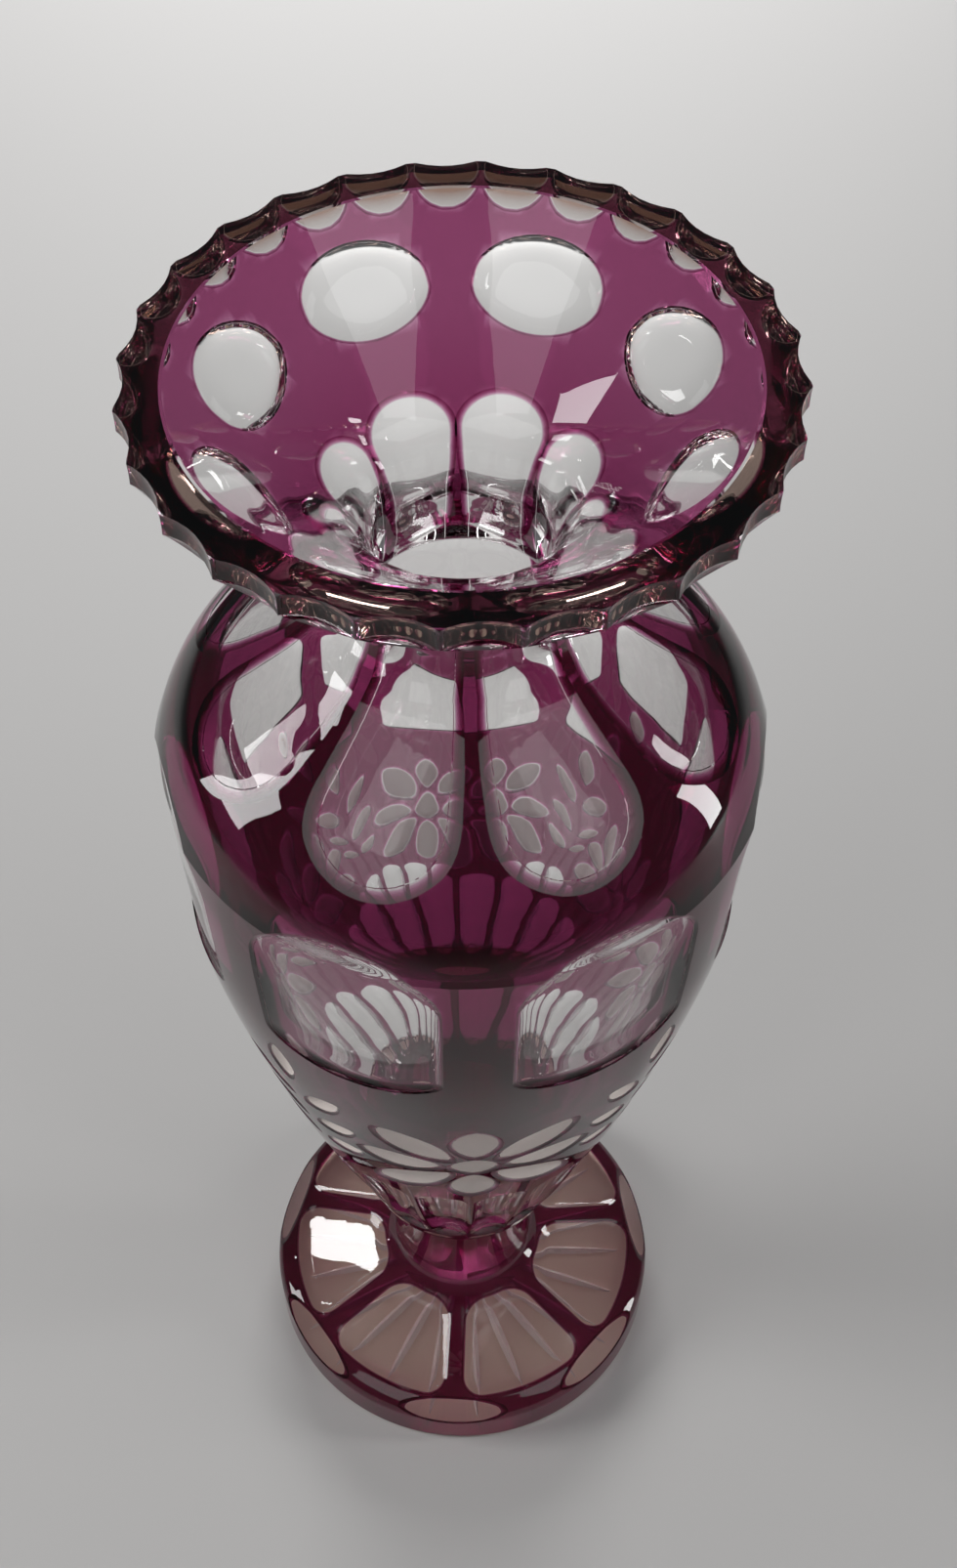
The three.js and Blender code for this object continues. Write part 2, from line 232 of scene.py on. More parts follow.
def turned_blank(name, profile, row_slots, materials, steps):
    """Turns a closed profile: x = radius sin a, y = -radius cos a, z = height. Points at radius 0 at
    its two ends become poles. Without poles the last row joins the first."""
    profile = np.asarray(profile, float) * 0.001
    poles = profile[0, 0] < 1e-9
    rows = profile[1:-1] if poles else profile
    angle = np.arange(steps) * 2 * math.pi / steps
    ring = np.stack([np.sin(angle), -np.cos(angle)], 1)
    xy = rows[:, None, :1] * ring[None]
    z = np.broadcast_to(rows[:, None, 1:], xy.shape[:2] + (1,))
    vertices = np.concatenate([xy, z], 2).reshape(-1, 3)
    n = len(rows)
    i = np.arange(n - 1 if poles else n)[:, None]
    j = np.arange(steps)[None]
    k = (i + 1) % n
    quads = np.stack(np.broadcast_arrays(i * steps + j, i * steps + (j + 1) % steps,
                                         k * steps + (j + 1) % steps, k * steps + j), -1).reshape(-1, 4)
    faces = quads.tolist()
    slots = np.repeat(row_slots[1:-1] if poles else row_slots, steps).tolist()
    if poles:
        first, last = len(vertices), len(vertices) + 1
        vertices = np.vstack([vertices, [[0, 0, profile[0, 1]], [0, 0, profile[-1, 1]]]])
        j = np.arange(steps)
        faces += np.stack([np.full(steps, first), (j + 1) % steps, j], 1).tolist()
        top = (n - 1) * steps
        faces += np.stack([np.full(steps, last), top + j, top + (j + 1) % steps], 1).tolist()
        slots += [row_slots[0]] * steps + [row_slots[-1]] * steps
    return new_object(name, vertices, faces, slots, materials)


print("steps round the axis:", TURN_STEPS, "for crystal and", TURN_STEPS_CASING, "for its skin")

# %% [markdown]
# ## Cutting wheels
# A cut is described by how far its floor lies under the outer surface: a field over the distance
# along the outline and the distance round the vase. Where the field is zero the cut ends, and that
# line is the outline of the panel. The wheel itself is a closed sheet: its underside follows the
# field and its lid stays clear above the glass. The same wheels grind the crystal and the casing,
# apart from the star under the foot, where there is no skin. The panels could be modelled into the
# mesh instead, but real cuts run into each other and through both layers, and a Boolean finds those
# edges by itself.

# %% Places on the outer surface


def outline_at(skin, arc):
    """Radius, level and normal (out, up) of the outer surface at an arc length."""
    return [np.interp(arc, skin["arc"], column) for column in (*skin["outline"].T, *skin["soft"].T)]


def on_skin(skin, arc, distance, height, azimuth):
    """Points at an arc length, a distance round and a height above the outer surface, in mm."""
    radius, level, out, up = outline_at(skin, arc)
    angle = distance / radius + azimuth
    reach = radius + out * height
    return np.stack([reach * np.sin(angle), -reach * np.cos(angle), level + up * height], -1)


def arc_at(skin, height):
    """Arc length at which the outline reaches a height."""
    return np.interp(height, skin["outline"][:, 1], skin["arc"])


def even_turns(count, first=0.0):
    """Azimuths of copies at equal steps round the axis."""
    return [first + i * 2 * math.pi / count for i in range(count)]


def edge_spacing(count):
    """Numbers from -1 to 1 that lie closer together near both ends: a mean of even steps and sines."""
    even = np.linspace(-1, 1, count)
    return 0.35 * even + 0.65 * np.sin(even * math.pi / 2)


print("from the join to the ridge:", round(float(arc_at(vessel_skin, RIDGE_HEIGHT)), 1), "mm of outline")

# %% Field of a ground panel
PANEL_MARGIN_MM = 0.35


def panel_cut(name, skin, low, high, low_round, high_round, widths, depths, turns, rows, cols,
              finish="ground", power=2.0):
    """Ground panel. Its field is depth * (s to the power - 1). s squared is (distance / half width)
    squared plus the square of the way into each rounded end, so the ends are elliptic. A higher
    power keeps the floor parallel to the round body and puts a steeper bevel along the outline. The
    sheet goes a little past the outline on every side, where the field is above the glass."""
    start, end = arc_at(skin, low), arc_at(skin, high)

    def half_width(arc):
        return np.interp(outline_at(skin, arc)[1], *zip(*widths))

    def field(arc, distance):
        depth = np.interp(outline_at(skin, arc)[1], *zip(*depths))
        into_low = np.maximum(0, (start + low_round - arc) / low_round)
        into_high = np.maximum(0, (arc - end + high_round) / high_round)
        s = (distance / half_width(arc)) ** 2 + into_low ** 2 + into_high ** 2
        return depth * (s ** (power / 2) - 1)

    first = start - 0.12 * low_round - PANEL_MARGIN_MM
    last = end + 0.12 * high_round + PANEL_MARGIN_MM
    line = (first + last) / 2 + edge_spacing(rows) * (last - first) / 2
    arc, share = np.meshgrid(line, 1.13 * edge_spacing(cols), indexing="ij")
    return {"name": name, "skin": skin, "field": field, "arc": arc, "distance": share * half_width(arc),
            "turns": turns, "finish": finish}


print("panels reach at least", PANEL_MARGIN_MM, "mm past their outline")

# %% Field of a petal
PETAL_DEPTH = 1.3


def petal_cut(name, skin, centre_height, aside, above, angle, length, width, turns, lean=0.0, sharp=1.8,
              rows=19, cols=11):
    """Single petal or leaf ground by the edge of a small wheel, at a place and an angle on the
    surface. Its field is depth * ((across / half width) to the power 1.6 + (along / half length) to
    the power sharp - 1): a smaller power gives more pointed ends. The half width grows by the share
    lean towards the outer end."""
    middle = arc_at(skin, centre_height) + above
    ca, sa = math.cos(angle), math.sin(angle)
    half, half_width = length / 2, width / 2

    def field(arc, distance):
        along = (distance - aside) * ca + (arc - middle) * sa
        across = -(distance - aside) * sa + (arc - middle) * ca
        u = along / half
        w = half_width * (1 + lean * u)
        return PETAL_DEPTH * (np.abs(across / w) ** 1.6 + np.abs(u) ** sharp - 1)

    u, v = np.meshgrid(np.linspace(-1.16, 1.16, rows) * half, np.linspace(-1.35, 1.35, cols) * half_width,
                       indexing="ij")
    return {"name": name, "skin": skin, "field": field, "arc": middle + u * sa + v * ca,
            "distance": aside + u * ca - v * sa, "turns": turns, "finish": "matt"}


print("petals are up to", PETAL_DEPTH, "mm deep")

# %% Wheels as closed sheets
LID_MM = 3.0
LEAST_SHEET_MM = 0.6


def closed_sheet(under, lid):
    """Vertices and faces of the closed body between two equal grids of points."""
    rows, cols = under.shape[:2]
    grid = np.arange(rows * cols).reshape(rows, cols)
    low = np.stack([grid[:-1, :-1], grid[:-1, 1:], grid[1:, 1:], grid[1:, :-1]], -1).reshape(-1, 4)
    rim = np.concatenate([grid[0, :-1], grid[:-1, -1], grid[-1, :0:-1], grid[:0:-1, 0]])
    after = np.roll(rim, -1)
    shift = rows * cols
    side = np.stack([after, rim, rim + shift, after + shift], -1)
    vertices = np.concatenate([under.reshape(-1, 3), lid.reshape(-1, 3)])
    return vertices, np.concatenate([low, low[:, ::-1] + shift, side])


def signed_volume(vertices, quads):
    """Sum of the tetrahedra from the origin to the two triangles of every quad."""
    a, b, c, d = (vertices[quads[:, i]] for i in range(4))
    return (np.einsum("ij,ij->i", a, np.cross(b, c)) + np.einsum("ij,ij->i", a, np.cross(c, d))).sum()


def wheel_object(name, sheets, material):
    """One object from several closed sheets that don't touch each other, faces outwards."""
    vertices, faces, base = [], [], 0
    for points, quads in sheets:
        vertices.append(points * 0.001)
        faces.append((quads if signed_volume(points, quads) > 0 else quads[:, ::-1]) + base)
        base += len(points)
    faces = np.concatenate(faces)
    slots = np.zeros(len(faces), int)
    return new_object(name, np.concatenate(vertices), faces.tolist(), slots, [material])


def wheel_sheets(cut):
    """The sheet of a cut, copied round the axis."""
    sheets = []
    for azimuth in cut["turns"]:
        height = np.minimum(cut["field"](cut["arc"], cut["distance"]), LID_MM - LEAST_SHEET_MM)
        under = on_skin(cut["skin"], cut["arc"], cut["distance"], height, azimuth)
        lid = on_skin(cut["skin"], cut["arc"], cut["distance"], LID_MM, azimuth)
        sheets.append(closed_sheet(under, lid))
    return sheets


print("sheets between a field and a lid", LID_MM, "mm above the glass")

# %% [markdown]
# ## The pattern
# Eight ovals circle the bowl, eight long flutes run from the bowl through the neck to the shoulder,
# and twenty eight thumbprints scallop the rim. Seven tall windows stand under the ridge and just
# break its edge, and eighteen hollow flutes close the heel. The coloured skin thins out to nothing
# along the outline of a cut, and that makes the soft dark line round each one: wide round the
# shallow hollow of a flute, and narrow where a bevel is steep. A deeper tint on the cut faces adds
# painted shade to that line. Each kind of cut is given by heights, half widths and depths, because
# they are easier to measure and correct than a shaped mesh.

# %% Cuts of the vessel
EIGHTH = math.pi / 8
SEVENTH = math.pi / 7
SCALLOP_HALF_WIDTH = 5.9
SCALLOP_DEPTH = 1.75

vessel_cuts = [
    panel_cut("ovals", vessel_skin, 279.6, 290.2, 7.6, 7.6,
              widths=[(279, 10.0), (284, 12.0), (292, 12.9)],
              depths=[(279, 1.7), (292, 1.7)],
              turns=even_turns(8, EIGHTH), rows=32, cols=26, power=4.0),
    panel_cut("flutes", vessel_skin, 229.5, 273.9, 14.0, 7.0,
              widths=[(229, 15.0), (234, 14.9), (240, 12.4), (246, 9.8), (252, 7.8), (260, 7.2), (267, 8.5),
                      (275, 11.2)],
              depths=[(229, 1.1), (240, 1.0), (250, 1.0), (276, 1.15)],
              turns=even_turns(8, EIGHTH), rows=72, cols=30),
    panel_cut("windows", vessel_skin, 176.0, 221.5, 6.0, 15.0,
              widths=[(176, 17.2), (182, 17.8), (200, 18.3), (222, 18.2)],
              depths=[(176, 1.0), (222, 1.0)],
              turns=even_turns(7, SEVENTH), rows=56, cols=34, power=9.0),
    panel_cut("heel_flutes", vessel_skin, 63.5, 109.5, 5.0, 5.5,
              widths=[(62, 3.75), (80, 4.7), (110, 6.1)],
              depths=[(62, 1.55), (110, 1.75)],
              turns=even_turns(18, math.pi / 18), rows=26, cols=8),
]
for name, first in (("scallops_even", 0.0), ("scallops_odd", SEVENTH / 2)):
    vessel_cuts.append(panel_cut(name, vessel_skin, 292.0, 308.0, 6.0, 6.0,
                                 widths=[(288, SCALLOP_HALF_WIDTH), (310, SCALLOP_HALF_WIDTH)],
                                 depths=[(288, SCALLOP_DEPTH), (310, SCALLOP_DEPTH)],
                                 turns=even_turns(14, first), rows=22, cols=10, finish="rim"))
print("panels of the vessel:", [cut["name"] for cut in vessel_cuts])

# %% [markdown]
# ## Flowers and leaves
# Four large flowers sit round the lower body, each with a round eye and eight pointed petals, longer
# on the diagonals, and a spray of paired leaves stands between one flower and the next. They are
# ground with a small wheel and left matt. An image of them would stay flat, and a shallow cut gives
# each petal an edge that catches light.

# %% Cuts of the flowers
FLOWER_HEIGHT = 135.5
FLOWER_TURNS = even_turns(4)
PETAL_START = 5.2
PETAL_WIDTH = 11.0
EYE_WIDTH = 11.4
for i in range(8):
    angle = i * math.pi / 4 + math.pi / 2
    outer = 24.4 + 4.4 * abs(math.sin(2 * angle))
    middle = (PETAL_START + outer) / 2
    vessel_cuts.append(petal_cut("petal_%d" % i, vessel_skin, FLOWER_HEIGHT, middle * math.cos(angle),
                                 middle * math.sin(angle), angle, outer - PETAL_START, PETAL_WIDTH,
                                 FLOWER_TURNS, lean=0.15))
vessel_cuts.append(petal_cut("eye", vessel_skin, FLOWER_HEIGHT, 0.0, 0.0, 0.0, EYE_WIDTH, EYE_WIDTH,
                             FLOWER_TURNS, sharp=1.6, rows=15, cols=15))
print("flowers:", len(FLOWER_TURNS), "with 8 petals and an eye")

# %% Cuts of the leaf sprays
SPRAY_HEIGHT = 124.0
SPRAY_TURNS = even_turns(4, math.pi / 4)
LEAF_PAIRS = [(6.2, 4.0, 36, 13.0), (6.8, 16.0, 42, 15.0), (6.6, 29.0, 50, 16.0)]
vessel_cuts.append(petal_cut("leaf_top", vessel_skin, SPRAY_HEIGHT, 0.0, 42.0, math.pi / 2, 16.0, 6.4,
                             SPRAY_TURNS))
for side in (-1, 1):
    for i, (aside, above, tilt, length) in enumerate(LEAF_PAIRS):
        angle = math.radians(tilt if side > 0 else 180 - tilt)
        vessel_cuts.append(petal_cut("leaf_%d_%d" % (side + 1, i), vessel_skin, SPRAY_HEIGHT, side * aside,
                                     above, angle, length, 6.2, SPRAY_TURNS))
print("vessel cuts:", len(vessel_cuts), "kinds")

# %% [markdown]
# ## Cuts of the foot
# The top of the foot carries seven shallow trays with rounded corners, between ribs that keep their
# colour. A flat is ground across the edge below each rib, and a star of mitred rays spreads under
# the foot, where the trays show it. Plain boxes would cut the trays too, but a field gives them a
# flat floor, which mirrors one lamp as a whole, and walls that slope up to round corners.

# %% Field of a tray
FOOT_TURN = math.radians(-6.0)
RIB_MM = 2.6
TRAY_LOW = 13.75
TRAY_HIGH = 19.5
TRAY_CORNER = 5.5
TRAY_DEPTH = 1.35
TRAY_WALL_SLOPE = 0.45


def tray_cut():
    """Tray field: the floor is flat, TRAY_DEPTH deep in the middle and less towards the sides by the
    rise of the arc, and the wall rises by TRAY_WALL_SLOPE of the distance to a trapezium with round
    corners."""
    skin = foot_skin
    start, end = arc_at(skin, TRAY_LOW), arc_at(skin, TRAY_HIGH)

    def half_width(arc):
        return (outline_at(skin, arc)[0] * math.tan(SEVENTH) - RIB_MM / 2) * math.cos(SEVENTH)

    def field(arc, distance):
        a = np.abs(arc - (start + end) / 2) - (end - start) / 2 + TRAY_CORNER
        b = np.abs(distance) - half_width(arc) + TRAY_CORNER
        gap = np.minimum(np.maximum(a, b), 0) + np.hypot(np.maximum(a, 0), np.maximum(b, 0)) - TRAY_CORNER
        radius, _, out, _ = outline_at(skin, arc)
        return np.maximum(distance ** 2 * out / (2 * radius) - TRAY_DEPTH, TRAY_WALL_SLOPE * gap)

    line = np.linspace(start - 0.9, end + 0.9, 40)
    arc, share = np.meshgrid(line, np.linspace(-1, 1, 34), indexing="ij")
    return {"name": "trays", "skin": skin, "field": field, "arc": arc,
            "distance": share * (half_width(arc) + 1.0),
            "turns": even_turns(7, FOOT_TURN + SEVENTH), "finish": "ground"}


foot_cuts = [tray_cut()]
print("trays:", len(foot_cuts[0]["turns"]))

# %% Flats on the edge of the foot
FLAT_RADIUS = 43.7
FLAT_HEIGHT = 12.1
FLAT_HALF_WIDTH = 18.0
FLAT_HALF_SLOPE = 7.0
FLAT_LID_MM = 6.0


def turned_about_axis(points, azimuth):
    """Points turned round the axis by an angle."""
    c, s = math.cos(azimuth), math.sin(azimuth)
    x, y, z = points[..., 0], points[..., 1], points[..., 2]
    return np.stack([x * c - y * s, x * s + y * c, z], -1)


def edge_flat_sheets():
    """Flats on the upper edge of the foot: planes leaning at 45 degrees."""
    side, slope = np.meshgrid([-FLAT_HALF_WIDTH, FLAT_HALF_WIDTH],
                              [-FLAT_HALF_SLOPE, FLAT_HALF_SLOPE], indexing="ij")
    half = math.sqrt(0.5)
    under = np.stack([side, -(FLAT_RADIUS - slope * half), FLAT_HEIGHT + slope * half], -1)
    lid = under + np.array([0, -half, half]) * FLAT_LID_MM
    return [closed_sheet(turned_about_axis(under, turn), turned_about_axis(lid, turn))
            for turn in even_turns(7, FOOT_TURN)]


print("edge flats:", len(edge_flat_sheets()))

# %% Star under the foot
STAR_RAYS = 21
STAR_START = 4.2
STAR_END = 39.5
RAY_MIDDLE = 23.0
RAY_HALF_LENGTH = 17.5
RAY_HEIGHT = 1.7
RAY_SPREAD = 0.62
RAY_TIP_DEPTH = 0.2
BELOW_BASE = 0.4


def star_sheets(first):
    """Every third ray of the star. A ray is a V groove whose height over the base is a parabola of
    the radius, as a wheel leaves it. Its half width is RAY_SPREAD times the height over the lower
    edge of the sheet, which lies BELOW_BASE under the base."""
    radius = np.linspace(STAR_START, STAR_END, 24)
    height = RAY_HEIGHT * (1 - ((radius - RAY_MIDDLE) / RAY_HALF_LENGTH) ** 2)
    height = np.maximum(height, -RAY_TIP_DEPTH)
    reach = (height + BELOW_BASE) * RAY_SPREAD
    share = np.array([-1.0, 0.0, 1.0])
    x = reach[:, None] * share
    y = -np.broadcast_to(radius[:, None], x.shape)
    under = np.stack([x, y, np.where(share == 0, height[:, None], -BELOW_BASE)], -1)
    lid = np.stack([x, y, np.full(x.shape, -1.0)], -1)
    turns = [FOOT_TURN + (i + first + 0.5) * 2 * math.pi / STAR_RAYS for i in range(0, STAR_RAYS, 3)]
    return [closed_sheet(turned_about_axis(under, turn), turned_about_axis(lid, turn)) for turn in turns]


print("star:", STAR_RAYS, "rays, the first third of them", len(star_sheets(0)))

# %% [markdown]
# ## Finishes
# Glass is one clear shader with an index of 1.54. The coloured skin is bonded to the crystal, so
# light doesn't bend where the two meet: those hidden faces get an index of exactly 1. The colour
# sits on both faces of the skin, each by the thickness of glass that is left there, so it fades where
# a cut thins the skin. The cut faces are acid polished and keep a faint ripple from the wheel. The
# flowers, the rays of the star and the base stay matt, so they scatter most of the light. The land
# and the scallops of the rim carry a painted dark brown shade, and the base under the foot carries a
# painted warm shade and painted amethyst reflection, in place of the light round those faces.
# A volume that soaks up light would be closer to a real skin, but it renders slowly, and a baked
# surface can't carry it.

# %% Ripple left by the wheel


def ripple_group():
    """Node group: a normal with faint ripples, from noise on Object coordinates."""
    group = bpy.data.node_groups.new("wheel_ripple", "ShaderNodeTree")
    group.interface.new_socket("Size", in_out="INPUT", socket_type="NodeSocketFloat")
    group.interface.new_socket("Strength", in_out="INPUT", socket_type="NodeSocketFloat")
    group.interface.new_socket("Normal", in_out="OUTPUT", socket_type="NodeSocketVector")
    nodes, links = group.nodes, group.links
    source = nodes.new("NodeGroupInput")
    result = nodes.new("NodeGroupOutput")
    place = nodes.new("ShaderNodeTexCoord")
    noise = nodes.new("ShaderNodeTexNoise")
    noise.inputs["Detail"].default_value = 1.0
    bump = nodes.new("ShaderNodeBump")
    bump.inputs["Distance"].default_value = 0.0004
    links.new(place.outputs["Object"], noise.inputs["Vector"])
    links.new(source.outputs["Size"], noise.inputs["Scale"])
    links.new(source.outputs["Strength"], bump.inputs["Strength"])
    links.new(noise.outputs["Fac"], bump.inputs["Height"])
    links.new(bump.outputs["Normal"], result.inputs["Normal"])
    return group


RIPPLE = ripple_group()
print("ripple group:", [socket.name for socket in RIPPLE.interface.items_tree])

# %% Glass with a colour that follows its skin
GLASS_INDEX = 1.54
BODY_DEPTH = 1.4


def glass(name, color, index=GLASS_INDEX, roughness=0.0, ripple=None, skin_depth=None, clear=1.0):
    """Principled glass. ripple is (size, strength) of its surface ripple, and clear is how much light
    goes through. With a skin_depth its colour is color to the power skin_depth * BODY_DEPTH *
    skin_left, so it fades with the skin."""
    material = bpy.data.materials.new(name)
    material.use_nodes = True
    nodes, links = material.node_tree.nodes, material.node_tree.links
    shader = nodes["Principled BSDF"]
    shader.inputs["Base Color"].default_value = (*color, 1)
    shader.inputs["Transmission Weight"].default_value = clear
    shader.inputs["IOR"].default_value = index
    shader.inputs["Roughness"].default_value = roughness
    if ripple:
        waves = nodes.new("ShaderNodeGroup")
        waves.node_tree = RIPPLE
        waves.inputs["Size"].default_value = ripple[0]
        waves.inputs["Strength"].default_value = ripple[1]
        links.new(waves.outputs["Normal"], shader.inputs["Normal"])
    if skin_depth:
        left = nodes.new("ShaderNodeAttribute")
        left.attribute_name = "skin_left"
        ramp = nodes.new("ShaderNodeValToRGB")
        deepest = skin_depth * BODY_DEPTH
        ramp.color_ramp.elements[0].color = (1, 1, 1, 1)
        ramp.color_ramp.elements[1].color = (*[c ** deepest for c in color], 1)
        for share in (0.2, 0.4, 0.6, 0.8):
            stop = ramp.color_ramp.elements.new(share)
            stop.color = (*[c ** (share * deepest) for c in color], 1)
        links.new(left.outputs["Fac"], ramp.inputs["Fac"])
        links.new(ramp.outputs["Color"], shader.inputs["Base Color"])
    return material


print("index of the glass:", GLASS_INDEX)

# %% Painted shade towards the rim
SHADE_START = 0.2925
SHADE_END = 0.295


def painted_shade_towards_rim(material, deepest):
    """Fades the colour from nearly white at the lower height to the deepest painted shade at the upper
    one, both in metres above the base, so the scallops are painted darker towards the top of the rim."""
    nodes, links = material.node_tree.nodes, material.node_tree.links
    place = nodes.new("ShaderNodeTexCoord")
    split = nodes.new("ShaderNodeSeparateXYZ")
    share = nodes.new("ShaderNodeMapRange")
    share.inputs["From Min"].default_value = SHADE_START
    share.inputs["From Max"].default_value = SHADE_END
    ramp = nodes.new("ShaderNodeValToRGB")
    ramp.color_ramp.elements[0].color = (0.9, 0.86, 0.83, 1)
    ramp.color_ramp.elements[1].color = (*deepest, 1)
    links.new(place.outputs["Object"], split.inputs["Vector"])
    links.new(split.outputs["Z"], share.inputs["Value"])
    links.new(share.outputs["Result"], ramp.inputs["Fac"])
    links.new(ramp.outputs["Color"], nodes["Principled BSDF"].inputs["Base Color"])


print("brown from", SHADE_START, "to", SHADE_END, "m above the base")

# %% Make the finishes
AMETHYST = (0.36, 0.075, 0.20)
CRYSTAL = (0.985, 0.985, 0.98)
# Painted shade: the dark brown of the flat land on the rim and of its scallops, not a colour of the glass.
LAND_PAINTED_SHADE = (0.10, 0.052, 0.038)
SCALLOP_PAINTED_SHADE = (0.28, 0.125, 0.08)
BLOWN_RIPPLE = (14.0, 0.05)
WHEEL_RIPPLE = (60.0, 0.06)
MATT_RIPPLE = (260.0, 0.3)

blown_crystal = glass("blown_crystal", CRYSTAL, ripple=BLOWN_RIPPLE)
ground_crystal = glass("ground_crystal", CRYSTAL, ripple=WHEEL_RIPPLE)
# The flat land on top of the rim is painted dark brown, as shade for the dark it reflects and sees through
# the skin.
rim_crystal_painted_shade = glass("rim_crystal_painted_shade", LAND_PAINTED_SHADE, ripple=WHEEL_RIPPLE)
# The scallops of the rim carry a painted dark brown shade that deepens towards the top.
scallop_crystal_painted_shade = glass("scallop_crystal_painted_shade", SCALLOP_PAINTED_SHADE, ripple=WHEEL_RIPPLE)
painted_shade_towards_rim(scallop_crystal_painted_shade, SCALLOP_PAINTED_SHADE)
# The warm colour of the base is painted shade and painted amethyst reflection, for the dim floor under the
# foot seen through the trays.
base_crystal_painted_shade = glass("base_crystal_painted_shade", (1.0, 0.77, 0.63), roughness=0.3, ripple=(60.0, 0.08), clear=0.35)
matt_crystal = glass("matt_crystal", (1.0, 0.89, 0.83), roughness=0.4, ripple=MATT_RIPPLE, clear=0.2)
bonded_crystal = glass("bonded_crystal", (1, 1, 1), index=1.0)
amethyst_face = glass("amethyst_face", AMETHYST, ripple=BLOWN_RIPPLE, skin_depth=1.0)
amethyst_bond = glass("amethyst_bond", AMETHYST, index=1.0, skin_depth=1.0)
# Cut faces of the skin take the amethyst 2.2 times as deep: painted shade that darkens the outline of each
# cut.
amethyst_edge_painted_shade = glass("amethyst_edge_painted_shade", AMETHYST, ripple=WHEEL_RIPPLE, skin_depth=2.2)
amethyst_matt = glass("amethyst_matt", AMETHYST, roughness=0.32, ripple=MATT_RIPPLE, skin_depth=1.5)
print("finishes:", [m.name for m in bpy.data.materials])

# %% [markdown]
# ## Grinding
# Every wheel takes its glass off with a Boolean modifier. The cut faces keep the wheel's material,
# so the finish of a cut comes with it. The modifiers are then applied, and edges between two
# finishes are made sharp. The exact solver would give the same cuts, but all these bodies are closed,
# so the faster manifold solver can be used.

# %% Grind a blank


def grind(blank, wheels):
    """Takes all the wheels off a blank, puts the ground mesh in the same object and removes the
    wheels, which have done their work."""
    for wheel in wheels:
        cut = blank.modifiers.new(wheel.name, "BOOLEAN")
        cut.operation = "DIFFERENCE"
        cut.solver = "MANIFOLD"
        cut.material_mode = "TRANSFER"
        cut.object = wheel
    graph = bpy.context.evaluated_depsgraph_get()
    mesh = bpy.data.meshes.new_from_object(blank.evaluated_get(graph))
    blank.modifiers.clear()
    blank.data = mesh
    mesh.name = blank.name
    for wheel in wheels:
        spent = wheel.data
        bpy.data.objects.remove(wheel)
        bpy.data.meshes.remove(spent)


def wheels_for(cuts, ground_material, matt_material, extra=(), rim_material=None):
    """Wheel objects for a list of cuts, each in the material of its finish."""
    finishes = {"ground": ground_material, "matt": matt_material, "rim": rim_material or ground_material}
    every = [(cut["name"], wheel_sheets(cut), cut["finish"]) for cut in cuts] + list(extra)
    return [wheel_object("wheel_" + name, sheets, finishes[finish]) for name, sheets, finish in every]


print("cuts on the vessel:", sum(len(cut["turns"]) for cut in vessel_cuts))

# %% Read a mesh and sharpen its creases
CREASE_DEGREES = 24


def mesh_arrays(mesh):
    """Vertices, the vertex and the face of every corner, and the material and centre of every face."""
    points = np.empty(len(mesh.vertices) * 3)
    mesh.vertices.foreach_get("co", points)
    corner_vertex = np.empty(len(mesh.loops), np.int32)
    mesh.loops.foreach_get("vertex_index", corner_vertex)
    sizes = np.empty(len(mesh.polygons), np.int32)
    mesh.polygons.foreach_get("loop_total", sizes)
    slots = np.empty(len(mesh.polygons), np.int32)
    mesh.polygons.foreach_get("material_index", slots)
    centres = np.empty(len(mesh.polygons) * 3)
    mesh.polygons.foreach_get("center", centres)
    corner_face = np.repeat(np.arange(len(sizes)), sizes)
    return points.reshape(-1, 3), corner_vertex, corner_face, slots, centres.reshape(-1, 3)


def sharpen(mesh, degrees):
    """Marks an edge sharp where its two faces have different finishes or meet at a steep angle."""
    mesh.polygons.foreach_set("use_smooth", np.ones(len(mesh.polygons), bool))
    mesh.set_sharp_from_angle(angle=math.radians(degrees))
    _, _, corner_face, slots, _ = mesh_arrays(mesh)
    corner_edge = np.empty(len(mesh.loops), np.int32)
    mesh.loops.foreach_get("edge_index", corner_edge)
    lowest = np.full(len(mesh.edges), 10 ** 6)
    highest = np.full(len(mesh.edges), -1)
    np.minimum.at(lowest, corner_edge, slots[corner_face])
    np.maximum.at(highest, corner_edge, slots[corner_face])
    attribute = mesh.attributes.get("sharp_edge") or mesh.attributes.new("sharp_edge", "BOOLEAN", "EDGE")
    sharp = np.empty(len(mesh.edges), bool)
    attribute.data.foreach_get("value", sharp)
    attribute.data.foreach_set("value", sharp | (lowest != highest))


print("creases steeper than", CREASE_DEGREES, "degrees stay sharp")

# %% [markdown]
# ## The vessel
# The casing is a shell 0.34 mm thick from the join with the foot to the rim, and the crystal fills
# the rest out to the bore. One body with two materials would be simpler, but then the skin would
# have no inner face to colour. A hair of 0.02 mm keeps the two bodies apart, because a ray can't tell
# which glass it enters where two faces lie in one place.

# %% Blanks of the vessel


def offset_rows(skin, rows, distance, bottom, top):
    """Rows of the outline moved inwards by a distance. The two ends lie level with the outer points
    given for them, so that the blank is closed flat there."""
    moved = skin["outline"][rows] - skin["soft"][rows] * distance
    moved[0] = (bottom[0] - distance, bottom[1])
    moved[-1] = (top[0] - distance, top[1])
    return moved


